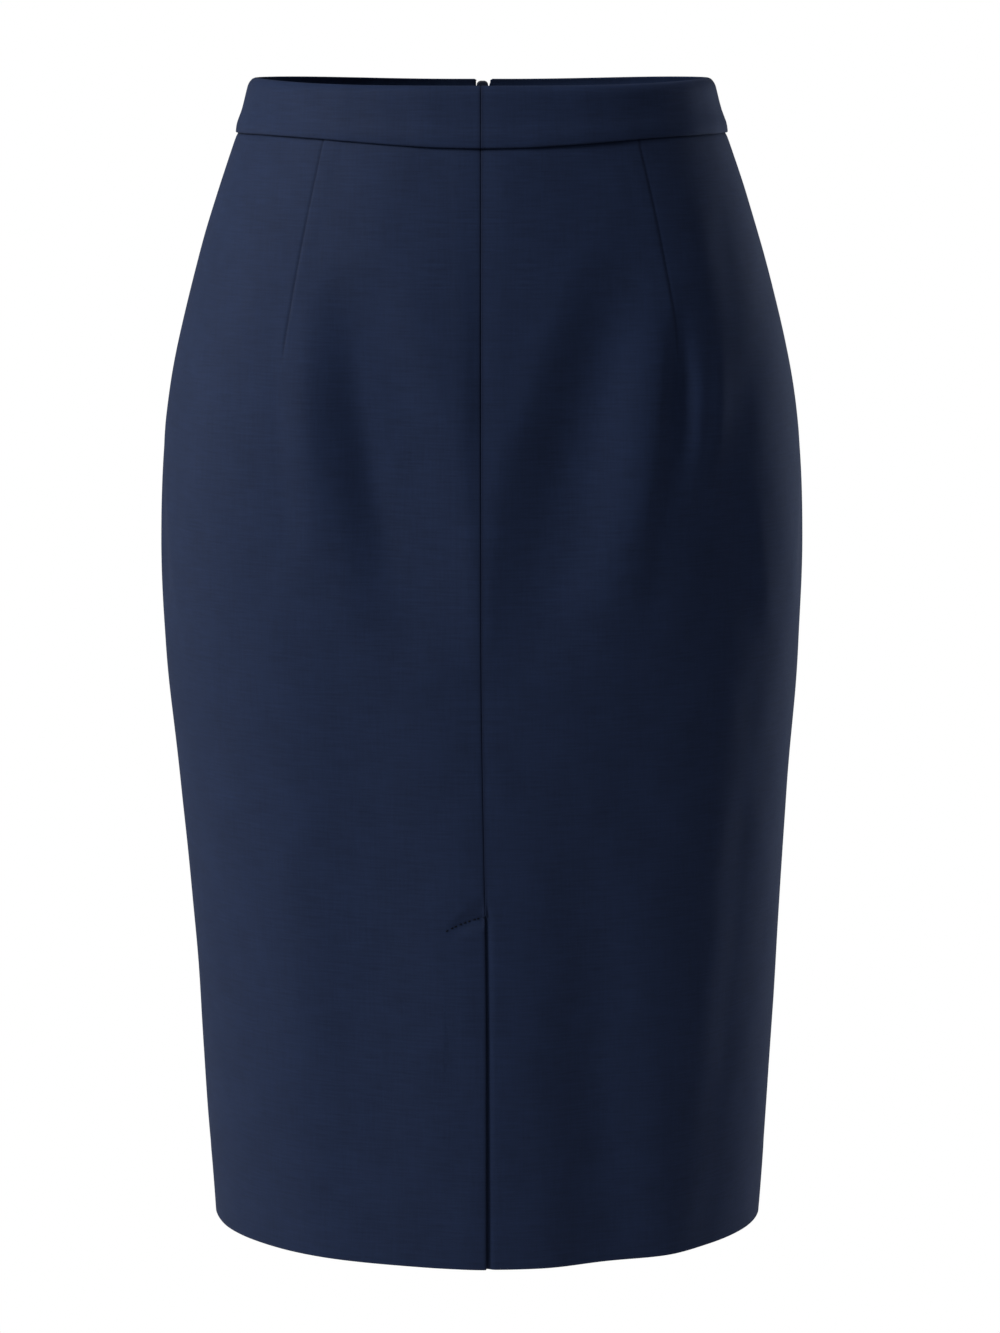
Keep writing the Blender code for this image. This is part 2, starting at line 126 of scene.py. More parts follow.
def on_form(form, side, face, drop, walk, lift):
    """Points at a walk from the centre seam along the cloth, moved out by lift."""
    i, f = level_of(form, drop)
    share = np.clip(np.abs(walk) / girth_at(form, face, drop), 0, 0.99999) * SHARES
    j = share.astype(int)
    f, g = f[..., None], (share - j)[..., None]
    table = form[face]["table"]
    place = ((table[i, j] * (1 - g) + table[i, j + 1] * g) * (1 - f)
             + (table[i + 1, j] * (1 - g) + table[i + 1, j + 1] * g) * f)
    x = (place[..., 0] + place[..., 2] * lift) * np.where(walk < 0, -side, side)
    y = place[..., 1] + place[..., 3] * lift
    t = np.clip((drop - SWAY_FROM) / (SWAY_TO - SWAY_FROM), 0, 1)
    x = x + HEM_SWAY * t * t * (3 - 2 * t)
    return np.stack((x, y if face == "back" else -y, -drop), axis=-1)


skirt_form = hollow_form(SKIRT_SECTIONS)


def smooth(value):
    """0 below 0, 1 above 1, and a soft step between."""
    t = np.clip(value, 0, 1)
    return t * t * (3 - 2 * t)


# The folds of the cloth. Each runs from its top to its low end; round is its
# distance from the centre seam, inner and outer its reach towards the centre
# and the side, bow how far its middle bends towards the side, and lift how far
# it stands out, or sinks when it is less than 0. "narrow" is the share of its
# width that it has at its top.
FOLDS = {
    "front_right": [
        dict(top=0.092, low=0.302, round_top=0.072, round_low=0.031, inner=0.050, outer=0.034,
             bow=0.003, narrow=0.70, lift=-0.0096),
        dict(top=0.105, low=0.265, round_top=0.074, round_low=0.050, inner=0.018, outer=0.020,
             bow=0.000, narrow=0.8, lift=-0.0024),
        dict(top=0.110, low=0.265, round_top=0.098, round_low=0.086, inner=0.015, outer=0.018,
             bow=0.000, narrow=0.8, lift=0.0016),
        dict(top=0.015, low=0.150, round_top=0.088, round_low=0.088, inner=0.050, outer=0.040,
             bow=0.000, narrow=1.0, lift=-0.0010),
        dict(top=0.250, low=0.690, round_top=0.062, round_low=0.052, inner=0.055, outer=0.050,
             bow=0.004, narrow=0.9, lift=-0.0038),
        dict(top=0.180, low=0.292, round_top=0.226, round_low=0.196, inner=0.020, outer=0.024,
             bow=0.000, narrow=1.0, lift=-0.0017),
    ],
    "front_left": [
        dict(top=0.076, low=0.318, round_top=0.072, round_low=0.022, inner=0.041, outer=0.041,
             bow=0.000, narrow=0.55, lift=-0.0076),
        dict(top=0.090, low=0.285, round_top=0.099, round_low=0.074, inner=0.032, outer=0.014,
             bow=0.002, narrow=0.8, lift=0.0030),
        dict(top=0.112, low=0.200, round_top=0.1055, round_low=0.1080, inner=0.015, outer=0.008,
             bow=0.000, narrow=1.0, lift=-0.0030),
        dict(top=0.125, low=0.222, round_top=0.119, round_low=0.114, inner=0.012, outer=0.022,
             bow=0.000, narrow=1.0, lift=0.0027),
        dict(top=0.125, low=0.218, round_top=0.132, round_low=0.124, inner=0.009, outer=0.022,
             bow=0.000, narrow=1.0, lift=0.0016),
        dict(top=0.190, low=0.300, round_top=0.132, round_low=0.150, inner=0.040, outer=0.022,
             bow=0.000, narrow=1.0, lift=-0.0022),
        dict(top=0.015, low=0.120, round_top=0.052, round_low=0.060, inner=0.045, outer=0.042,
             bow=0.000, narrow=1.0, lift=-0.0012),
        dict(top=0.030, low=0.180, round_top=0.114, round_low=0.120, inner=0.040, outer=0.026,
             bow=0.000, narrow=1.0, lift=0.0018),
        dict(top=0.250, low=0.690, round_top=0.060, round_low=0.060, inner=0.048, outer=0.060,
             bow=0.000, narrow=0.8, lift=-0.0010),
        dict(top=0.225, low=0.700, round_top=0.134, round_low=0.092, inner=0.055, outer=0.030,
             bow=0.004, narrow=1.0, lift=0.0030),
        dict(top=0.375, low=0.760, round_top=0.046, round_low=0.078, inner=0.040, outer=0.038,
             bow=0.002, narrow=0.8, lift=-0.0044),
        dict(top=0.185, low=0.285, round_top=0.228, round_low=0.205, inner=0.018, outer=0.022,
             bow=0.000, narrow=1.0, lift=-0.0015),
    ],
    "back_right": [
        dict(top=0.105, low=0.300, round_top=0.088, round_low=0.048, inner=0.040, outer=0.026,
             bow=0.003, narrow=0.7, lift=-0.0046),
        dict(top=0.150, low=0.330, round_top=0.120, round_low=0.092, inner=0.022, outer=0.026,
             bow=0.004, narrow=1.0, lift=0.0010),
        dict(top=0.300, low=0.660, round_top=0.076, round_low=0.066, inner=0.056, outer=0.050,
             bow=-0.006, narrow=1.0, lift=-0.0024),
        dict(top=0.190, low=0.290, round_top=0.232, round_low=0.206, inner=0.020, outer=0.024,
             bow=0.000, narrow=1.0, lift=-0.0014),
    ],
    "back_left": [
        dict(top=0.110, low=0.285, round_top=0.098, round_low=0.062, inner=0.030, outer=0.024,
             bow=0.002, narrow=0.8, lift=-0.0050),
        dict(top=0.130, low=0.300, round_top=0.062, round_low=0.030, inner=0.018, outer=0.020,
             bow=0.002, narrow=1.0, lift=0.0009),
        dict(top=0.280, low=0.680, round_top=0.092, round_low=0.074, inner=0.060, outer=0.050,
             bow=0.008, narrow=1.0, lift=-0.0022),
        dict(top=0.190, low=0.290, round_top=0.232, round_low=0.206, inner=0.020, outer=0.024,
             bow=0.000, narrow=1.0, lift=-0.0014),
    ],
}


# the slight unevenness of the cloth: how wide, how tall and how large its waves are
UNEVENNESS = ((0.083, 0.141, 0.00016), (0.047, 0.093, 0.00010), (0.029, 0.061, 0.00006))


def fold_lift(panel, drop, walk):
    """How far the folds and the slight unevenness of the cloth move it out."""
    lift = np.zeros_like(drop)
    for fold in FOLDS[panel]:
        run = np.clip((drop - fold["top"]) / (fold["low"] - fold["top"]), 0, 1)
        middle = (fold["round_top"] + (fold["round_low"] - fold["round_top"]) * run
                  + fold["bow"] * np.sin(math.pi * run))
        reach = np.where(walk < middle, fold["inner"], fold["outer"])
        reach = reach * (fold["narrow"] + (1 - fold["narrow"]) * np.clip(run * 2, 0, 1))
        across = np.clip((walk - middle) / reach, -1, 1)
        lift += fold["lift"] * np.sin(math.pi * run) ** 1.3 * (0.5 + 0.5 * np.cos(math.pi * across))
    phase = sum(ord(letter) for letter in panel)
    for wide, tall, size in UNEVENNESS:
        across = walk / wide * 6.283 + phase + drop * 9.0
        lift += size * np.sin(across) * np.sin(drop / tall * 6.283 + phase * 1.7)
    return lift


CLOTH = 0.00045             # the suiting's thickness
SEAM_ROLL = 0.00055         # radius of the turned-in edge at a seam
SEAM_ALLOWANCE = 0.013
TUCK_UP = 0.0080            # cloth that goes up behind the waistband
HEM_ROLL, HEM_TURN = 0.00080, 0.038
UNDERLAP = 0.024            # width of cloth beneath the lap
UNDERLAP_SLANT = 0.0090     # its top edge falls this much across it
UNDERLAP_BEHIND = 0.0016    # its face, behind the lap's face
UNDERLAP_STEP = 0.0045      # the left panel sinks beneath the lap over this width
LAP_SPRING = 0.0007         # the lap's edge stands off this much at the hem
FOLDS_FROM = 0.012          # folds die away over this width beside the centre seam
DRAG_FROM, DRAG_RUN, DRAG_WIDTH = 0.070, 0.180, 0.0062
DRAG = {"front_right": 0.0020}
DRAG_ELSEWHERE = 0.0006     # how far a drag draws the centre seam in
WALK_STEP, ROW_STEP = 0.0026, 0.0026
SEAM_STEP, SEAM_REACH = 0.00055, 0.0035
DART_TOP_SHARE, DART_TIP_SHARE, DART_RUN = 0.457, 0.474, 0.147
DART_TIP = {"front": 0.147, "back": 0.150}
DART_TAKE = 0.009
DART_GROOVE, DART_GROOVE_WIDTH = 0.00032, 0.0007
TACK_LENGTH, TACK_FALL, TACK_DENT = 0.0205, 0.0078, 0.0015


def tack_line(walk):
    """The level of the slanting tack at the top of the vent."""
    share = np.clip(walk / TACK_LENGTH, 0, 1.2)
    return VENT_DROP + 0.0006 + TACK_FALL * (0.55 * share + 0.45 * share ** 2)


def spaced(length, marks, coarse):
    """Places along a length, closer together near the marks, which are each a place,
    the step there and how far round it reaches."""
    scale = np.linspace(0, length, 6001)
    step = np.full(6001, coarse)
    for place, fine, reach in marks:
        step = np.minimum(step, coarse - (coarse - fine) * np.exp(-((scale - place) / reach) ** 2))
    count = np.concatenate(([0], np.cumsum(2 * np.diff(scale) / (step[1:] + step[:-1]))))
    return np.interp(np.linspace(0, count[-1], int(round(count[-1])) + 1), count, scale)


def cloth_object(name, points, flat, keep, flip, thickness, painted_seam_shade):
    """A sheet of cloth on a grid of points: flat is its place on the uncut cloth in
    metres, keep the grid's faces that are there, and the last argument how much
    painted shade darkens a point in the seams, along the dart and along the tack line."""
    rows, columns = points.shape[:2]
    r, c = np.nonzero(keep)
    corner = r * columns + c
    faces = np.stack((corner, corner + columns, corner + columns + 1, corner + 1), axis=1)
    if flip:
        faces = faces[:, ::-1]
    used, faces = np.unique(faces, return_inverse=True)
    mesh = bpy.data.meshes.new(name)
    mesh.from_pydata(points.reshape(-1, 3)[used].tolist(), [], faces.reshape(-1, 4).tolist())
    layer = mesh.uv_layers.new(name="cloth")
    corners = np.zeros(len(mesh.loops), dtype=np.int32)
    mesh.loops.foreach_get("vertex_index", corners)
    layer.data.foreach_set("uv", flat.reshape(-1, 2)[used][corners].ravel())
    # painted shade in the seams, along the dart and along the tack line, which the material darkens the
    # cloth by
    edge = mesh.attributes.new("edge", "FLOAT", "POINT")
    edge.data.foreach_set("value", painted_seam_shade.reshape(-1)[used])
    mesh.shade_smooth()
    piece = bpy.data.objects.new(name, mesh)
    bpy.context.scene.collection.objects.link(piece)
    wall = piece.modifiers.new("wall", "SOLIDIFY")
    wall.thickness = thickness
    wall.offset = -1.0
    wall.use_even_offset = False
    bpy.context.view_layer.objects.active = piece
    bpy.ops.object.modifier_apply(modifier=wall.name)
    piece.data.set_sharp_from_angle(angle=math.radians(70))
    return piece


def panel_rows():
    """The rows of a panel's grid: level, depth behind the face, and the angle that the
    face has turned through. They go from behind the waistband, down the face, round
    the hem and up inside it."""
    tuck = [(-TUCK_UP, 0.0007), (-0.0045, 0.0007), (-0.0020, 0.0007), (-0.0008, 0.00066),
            (-0.0001, 0.00058), (0.0005, 0.00045), (0.0012, 0.00028), (0.0022, 0.00012), (0.0036, 0.00003)]
    rows = [(BAND_HEIGHT + below, behind, 0.0) for below, behind in tuck]
    start = BAND_HEIGHT + 0.0052
    end = LENGTH - HEM_ROLL
    marks = [(0.0, 0.0010, 0.004), (end - start, 0.0010, 0.004), (VENT_DROP + 0.004 - start, 0.0006, 0.010)]
    rows += [(start + place, 0.0, 0.0) for place in spaced(end - start, marks, ROW_STEP)]
    for i in range(1, 9):
        angle = math.pi * i / 8
        rows.append((end + HEM_ROLL * math.sin(angle), HEM_ROLL * (1 - math.cos(angle)), angle))
    rows += [(end - HEM_TURN * (i / 12), 2 * HEM_ROLL, math.pi) for i in range(1, 13)]
    return np.array(rows)


def make_panel(name, side, face, lap=None):
    """One panel. lap is "over" for the one that laps over the vent and "under" for
    the one that has the underlap."""
    rows = panel_rows()
    level, behind, turned = (rows[:, i][:, None] for i in range(3))
    on_face = turned == 0
    roll = SEAM_ROLL
    arc = [math.pi * i / 6 for i in range(7)]
    allowance = [(SEAM_ALLOWANCE * share, 2 * roll) for share in (1.0, 0.75, 0.5, 0.25, 0.1)]
    rolled = [(roll * (1 - math.sin(a)), roll * (1 + math.cos(a))) for a in arc]
    inner = np.array(allowance + rolled)
    tucked = len(allowance) + 3
    turned_in = len(inner)

    typical = girth_at(skirt_form, face, np.array([0.2]))[0] - 2 * roll
    marks = [(0.0, SEAM_STEP, 0.0045), (typical, SEAM_STEP, SEAM_REACH),
             (DART_TIP_SHARE * typical, SEAM_STEP, SEAM_REACH)]
    if lap == "over":
        marks.append((TACK_LENGTH / 2, 0.0009, 0.016))
    shares = spaced(typical, marks, WALK_STEP)[1:-1] / typical

    # how far each column walks and how deep its rolled edge lies
    girth = girth_at(skirt_form, face, level)
    dart_share = DART_TOP_SHARE + (DART_TIP_SHARE - DART_TOP_SHARE) * np.clip(level / DART_RUN, 0, 1)
    warped = np.where(shares < DART_TIP_SHARE, shares * dart_share / DART_TIP_SHARE,
                      1 - (1 - shares) * (1 - dart_share) / (1 - DART_TIP_SHARE))
    main = roll + (girth - 2 * roll) * warped
    centre = np.repeat(inner[:, 0][None, :], len(rows), axis=0)
    outer = girth - inner[::-1, 0][None, :]
    walk = np.concatenate((centre, main, outer), axis=1)
    depth = np.concatenate((inner[:, 1], np.zeros(len(shares)), inner[::-1, 1]))[None, :]
    depth = np.repeat(depth, len(rows), axis=0)
    columns = walk.shape[1]
    column = np.arange(columns)[None, :]
    level = np.repeat(level, columns, axis=1)

    # the waist seam's curve, fading down the panel
    seam_place = on_form(skirt_form, 1, face, np.full(columns, BAND_HEIGHT),
                         np.clip(walk[0], 0, None), np.zeros(columns))
    share = np.clip(np.abs(seam_place[:, 0]) / SKIRT_SECTIONS[0]["half_width"], 0, 1)
    dip = (FRONT_SEAM_DIP if face == "front" else BACK_SEAM_DIP) * (0.5 + 0.5 * np.cos(math.pi * share))
    progress = np.clip((level - BAND_HEIGHT) / (LENGTH - BAND_HEIGHT), 0, 1)
    drop = level + dip[None, :] * (1 - progress) ** 2

    # the dart: a pressed line with its take folded towards the centre behind it
    tip = DART_TIP[face]
    left = np.clip((tip - drop) / (tip - BAND_HEIGHT), 0, 1)
    from_dart = walk - (roll + (girth - 2 * roll) * dart_share)
    lift = -DART_GROOVE * smooth(left * 8.0) * np.exp(-(from_dart / DART_GROOVE_WIDTH) ** 2)
    lift += 0.00022 * smooth(left * 2.0) * smooth(-from_dart / 0.0012) * smooth(
        (from_dart + DART_TAKE * left) / 0.002 + 1)
    # the pressed seam allowances show through as faint ridges
    for edge in (walk, girth - walk):
        lift += 0.00008 * (1 - smooth((edge - SEAM_ALLOWANCE) / 0.002)) * smooth(edge / 0.003)
    lift += fold_lift(name, drop, walk) * smooth(walk / FOLDS_FROM) * smooth((girth - walk) / 0.010)
    drag = 0.0003 + (DRAG.get(name, DRAG_ELSEWHERE) - 0.0003) * np.clip(
        np.sin(math.pi * np.clip((drop - DRAG_FROM) / DRAG_RUN, 0, 1)), 0, 1) ** 2
    lift -= drag * np.exp(-(walk / DRAG_WIDTH) ** 2) * (1 - smooth((drop - VENT_DROP + 0.05) / 0.04))
    lift += 0.00012 * (1 - smooth((LENGTH - HEM_TURN - level) / 0.004 + 0.5))
    # the seam allowances are left out behind the waistband and inside the hem
    clear = (level[:-1, :1] > BAND_HEIGHT + 0.006) & (level[:-1, :1] < LENGTH - HEM_TURN - 0.003)
    hidden = (column[:, :-1] < tucked) | (column[:, :-1] >= columns - 1 - tucked)
    keep = (clear & on_face[:-1]) | ~hidden

    under = level > VENT_DROP
    if lap == "over":
        # the allowance widens into the lap's own, and the lap's edge springs a little
        wider = 1 + 0.7 * smooth((level - VENT_DROP) / 0.006)
        walk = np.where(column < len(allowance), walk * wider, walk)
        down = smooth((level - VENT_DROP) / (LENGTH - VENT_DROP))
        lift += LAP_SPRING * np.exp(-(walk / 0.014) ** 2) * down
        # the cloth sinks to the tack in a soft three-cornered dent, deepest at the seam
        past = drop - tack_line(walk)
        run = np.clip(walk / TACK_LENGTH, 0, 1.1)
        held = smooth(walk / 0.0015) * (1 - smooth((run - 0.45) / 0.62))
        above = 0.0035 + 0.0085 * (1.1 - run)
        lift -= TACK_DENT * held * np.where(past < 0, smooth(1 + past / above), 1 - smooth(past / 0.0085))
        # where the tack line gets its painted shade
        stitched = held * np.exp(-((past + 0.0003) / 0.0008) ** 2)
    if lap == "under":
        flat_walk = -UNDERLAP * (1 - np.arange(turned_in) / (turned_in - 1))
        beneath = (column < turned_in) & under
        full = np.zeros((1, columns))
        full[0, :turned_in] = flat_walk
        walk = np.where(beneath, full, walk)
        depth = np.where(beneath, 0.0, depth)
        sunk = smooth((level - VENT_DROP + 0.010) / 0.014) * (1 - smooth(np.abs(walk) / UNDERLAP_STEP))
        lift -= UNDERLAP_BEHIND * np.where(beneath, 1.0, np.where(column >= turned_in, sunk, 0.0))
        # the underlap follows the folds of the lap that lies on it
        lift += np.where(beneath, fold_lift("front_right", drop, -walk) * smooth(-walk / FOLDS_FROM), 0.0)
        drop = drop + np.where(beneath, UNDERLAP_SLANT * np.abs(walk) / UNDERLAP, 0.0) * (
            1 - smooth((level - VENT_DROP) / 0.030))
        first = int(np.argmax(under[:, 0]))
        keep[:, :turned_in - 1] |= (under[:-1, :1])
        keep[first - 1, :turned_in - 1] = False

    turned = np.repeat(turned, columns, axis=1)
    points = on_form(skirt_form, side, face, drop - depth * np.sin(turned), walk,
                     lift - behind - depth * np.cos(turned))
    flat = np.stack((np.where(column < turned_in, -walk, walk), drop), axis=-1)
    # painted shade: the cloth is darkened in the centre and side seams, along the dart, at the waist seam
    # and along the tack line at the top of the vent
    nearest = np.minimum(np.abs(walk), girth - walk)
    painted_seam_shade = np.exp(-(nearest / 0.0011) ** 2) + 0.6 * smooth(left * 8.0) * np.exp(-(from_dart / 0.0008) ** 2)
    painted_seam_shade += 0.5 * np.exp(-((drop - dip[None, :] - BAND_HEIGHT) / 0.0010) ** 2)
    if lap == "over":
        painted_seam_shade += 0.6 * stitched
    return cloth_object(name + "_cloth", points, flat, keep, (side < 0) != (face == "back"), CLOTH,
                        np.clip(painted_seam_shade, 0, 1))


class Value:
    """A shader socket that can be used in sums."""

    def __init__(self, tree, socket):
        self.tree, self.socket = tree, socket

    def node(self, kind, settings=None, **sockets):
        """A node of this kind, with its settings and the values or links of its sockets,
        each named by its number after an i, or by its name."""
        made = self.tree.nodes.new("ShaderNode" + kind)
        for key, value in (settings or {}).items():
            setattr(made, key, value)
        for key, value in sockets.items():
            spot = made.inputs[int(key[1:]) if key[1:].isdigit() else key.title()]
            if isinstance(value, Value):
                self.tree.links.new(value.socket, spot)
            else:
                spot.default_value = value
        return made

    def out(self, kind, settings=None, output=0, **sockets):
        """The same node's output, as a value."""
        return Value(self.tree, self.node(kind, settings, **sockets).outputs[output])

    def sum(self, operation, first, second=0.0):
        return self.out("Math", {"operation": operation}, i0=first, i1=second)

    def __add__(self, other):
        return self.sum("ADD", self, other)

    def __sub__(self, other):
        return self.sum("SUBTRACT", self, other)

    def __mul__(self, other):
        return self.sum("MULTIPLY", self, other)

    def __rsub__(self, other):
        return self.sum("SUBTRACT", other, self)

    __radd__, __rmul__ = __add__, __mul__

    def mix(self, first, second):
        """A colour between two, this value deciding how much of the second."""
        return self.out("Mix", {"data_type": "RGBA"}, output=2, i0=self, i6=first, i7=second)


def new_finish(name):
    """A material with its Principled shader, and a value to start its sums from."""
    material = bpy.data.materials.new(name)
    material.use_nodes = True
    tree = material.node_tree
    return material, tree.nodes["Principled BSDF"], Value(tree, None)


# the cloth's uneven threads: how closely they vary across and down, and a place in
# the noise of their own
THREADS = ((70.0, 2400.0, 0.0), (2600.0, 90.0, 3.7), (60.0, 900.0, 8.1), (900.0, 60.0, 5.3))
WEAVE_PITCH = 0.00036


def suiting(name, dark, light, tint):
    """Fine worsted suiting: a plain weave of fine threads with a little unevenness
    in thickness and dye, matt, with a faint bloom of loose fibre."""
    material, shader, start = new_finish(name)
    flat = start.out("UVMap", {"uv_map": "cloth"})
    split = start.node("SeparateXYZ", i0=flat)
    across, down = (Value(start.tree, split.outputs[i]) for i in (0, 1))
    edge = start.out("Attribute", {"attribute_name": "edge"}, output=2)
    warp = start.sum("SINE", across * (math.tau / WEAVE_PITCH)) * 0.5 + 0.5
    weft = start.sum("SINE", down * (math.tau / WEAVE_PITCH)) * 0.5 + 0.5
    weave = warp * weft + (1 - warp) * (1 - weft)
    threads = []
    for wide, tall, seed in THREADS:
        place = start.out("CombineXYZ", i0=across * wide, i1=down * tall, i2=seed)
        threads.append(start.out("TexNoise", i0=place, scale=1.0, detail=2.0, roughness=0.6))
    fleck = start.out("TexNoise", i0=flat, scale=1500.0, detail=3.0, roughness=0.7)
    cloud = start.out("TexNoise", i0=flat, scale=34.0, detail=4.0, roughness=0.6)
    tone = threads[0] * 0.30 + threads[1] * 0.20 + fleck * 0.25 + 0.125
    tone = tone + (threads[2] - 0.5) * 0.60 + (threads[3] - 0.5) * 0.30
    tone = tone + (weave - 0.5) * 0.22 + (cloud - 0.5) * 0.45
    colour = tone.mix((*dark, 1.0), (*light, 1.0))
    # painted shade: the colour is darkened where the edge attribute says, in the seams, along the dart and
    # along the tack line
    colour = (edge * 0.55).mix(colour, (0.20 * dark[0], 0.32 * dark[1], 0.50 * dark[2], 1.0))
    start.tree.links.new(colour.socket, shader.inputs["Base Color"])
    rough = 0.70 + (threads[1] - 0.5) * 0.16 - edge * 0.06
    start.tree.links.new(rough.socket, shader.inputs["Roughness"])
    shader.inputs["Specular IOR Level"].default_value = 0.10
    shader.inputs["Sheen Weight"].default_value = 0.02
    shader.inputs["Sheen Roughness"].default_value = 0.45
    shader.inputs["Sheen Tint"].default_value = (*tint, 1.0)
    height = weave * 0.5 + threads[0] * 0.35 + threads[1] * 0.25 + threads[2] * 0.30 + fleck * 0.2
    bump = start.out("Bump", strength=0.30, distance=0.00016, height=height)
    start.tree.links.new(bump.socket, shader.inputs["Normal"])
    return material


NAVY_DARK, NAVY_LIGHT = (0.0057, 0.0105, 0.0286), (0.0148, 0.0272, 0.0730)
BLOOM = (0.45, 0.58, 0.95)
cloth_finish = suiting("navy_suiting", NAVY_DARK, NAVY_LIGHT, BLOOM)

# length of the cut: face, hem turned up and what goes up into the waistband
for name, side, lap in (("front_right", -1, "over"), ("front_left", 1, "under")):
    cloth = make_panel(name, side, "front", lap)
    cloth.data.materials.append(cloth_finish)
    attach(cloth, "skirt")
    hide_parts(name + "_panel")

# ---------------------------------------------------------------------------
# The tack at the top of the vent: a slanting row of small stitches, in thread
# darker than the cloth, through the right front and the underlap.
# ---------------------------------------------------------------------------
STITCHES, STITCH_LENGTH, THREAD = 9, 0.0014, 0.00030


THREAD_SIDES = 8


def thread_mesh(name, runs, radius):
    """Round thread along each run of points, closed at its ends, in one mesh."""
    turn = np.linspace(0, math.tau, THREAD_SIDES, endpoint=False)[None, :, None]
    points, faces, first = [], [], 0
    for run in runs:
        ahead = np.gradient(run, axis=0)
        ahead /= np.linalg.norm(ahead, axis=1)[:, None]
        over = np.cross(ahead, (0.31, 0.52, 0.80))
        over /= np.linalg.norm(over, axis=1)[:, None]
        across = np.cross(ahead, over)
        ends = np.ones(len(run))
        ends[[0, -1]] = 0.35
        ring = over[:, None, :] * np.cos(turn) + across[:, None, :] * np.sin(turn)
        points.append((run[:, None, :] + ring * (radius * ends)[:, None, None]).reshape(-1, 3))
        last = first + (len(run) - 1) * THREAD_SIDES
        for start in range(first, last, THREAD_SIDES):
            for j in range(THREAD_SIDES):
                a, b = start + j, start + (j + 1) % THREAD_SIDES
                faces.append((a, b, b + THREAD_SIDES, a + THREAD_SIDES))
        faces += [tuple(range(first + THREAD_SIDES - 1, first - 1, -1)),
                  tuple(range(last, last + THREAD_SIDES))]
        first = last + THREAD_SIDES
    mesh = bpy.data.meshes.new(name)
    mesh.from_pydata(np.concatenate(points).tolist(), [], faces)
    mesh.shade_smooth()
    piece = bpy.data.objects.new(name, mesh)
    bpy.context.scene.collection.objects.link(piece)
    return piece


def thread_finish(name, dark, light, rough):
    """Twisted thread, with its twist as a fine change of tone."""
    material, shader, start = new_finish(name)
    place = start.out("TexCoord", output=3)
    twist = start.out("TexNoise", i0=place, scale=3200.0, detail=2.0)
    shader.inputs["Specular IOR Level"].default_value = 0.12
    colour = twist.mix((*dark, 1.0), (*light, 1.0))
    start.tree.links.new(colour.socket, shader.inputs["Base Color"])
    start.tree.links.new((twist * 0.2 + rough).socket, shader.inputs["Roughness"])
    bump = start.out("Bump", strength=0.4, distance=0.00005, height=twist)
    start.tree.links.new(bump.socket, shader.inputs["Normal"])
    return material


lap_front = bpy.data.objects["front_right_cloth"]
stitches = []
for i in range(STITCHES):
    middle = 0.0012 + (TACK_LENGTH - 0.0020) * (i + 0.12 * math.sin(i * 2.4)) / (STITCHES - 1)
    run = []
    for share in (-0.5, -0.3, 0.0, 0.3, 0.5):
        walk = middle + STITCH_LENGTH * share
        above = Vector(on_form(skirt_form, -1, "front", tack_line(np.array(walk)), np.array(walk), 0.0))
        _, place, _, _ = lap_front.closest_point_on_mesh(above)
        run.append((place.x, place.y - THREAD * (0.55 - 3.4 * share ** 2), place.z))
    stitches.append(np.array(run))
tack = thread_mesh("vent_tack_stitches", stitches, THREAD)
tack_thread = thread_finish("tack_thread", (0.0008, 0.0013, 0.0040), (0.0026, 0.0042, 0.0120), 0.7)
tack.data.materials.append(tack_thread)
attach(tack, "skirt")

# ---------------------------------------------------------------------------
# The two back panels: the same cloth, with a plain dart each, seamed to the
# fronts at the sides. Their centre edges are turned in on the zip.
# ---------------------------------------------------------------------------
for name, side in (("back_right", -1), ("back_left", 1)):
    cloth = make_panel(name, side, "back")
    cloth.data.materials.append(cloth_finish)
    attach(cloth, "skirt")
    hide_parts(name + "_panel")

# ---------------------------------------------------------------------------
# The waistband: the same suiting on a stiffening, folded along its top edge,
# with a seam at centre front. Its ends stand apart a little above the zip.
# ---------------------------------------------------------------------------
BAND_SECTIONS = [
    dict(drop=0.000, half_width=0.1226, front=0.0955, back=0.0985, fullness=2.10),
    dict(drop=0.030, half_width=0.1302, front=0.1004, back=0.1030, fullness=2.10),
    dict(drop=0.042, half_width=0.1332, front=0.1024, back=0.1048, fullness=2.10),
]
NOTCH = [
    dict(below=0.0000, right=0.0036, left=0.0048),
    dict(below=0.0050, right=0.0033, left=0.0034),
    dict(below=0.0100, right=0.0017, left=0.0017),
    dict(below=0.0125, right=0.0004, left=0.0004),
]
BAND_ROLL = 0.0011          # half the folded band's thickness
BAND_MIDDLE = 0.015
BAND_SWELL, BAND_TURN_IN = 0.0010, 0.0022
band_form = hollow_form(BAND_SECTIONS)


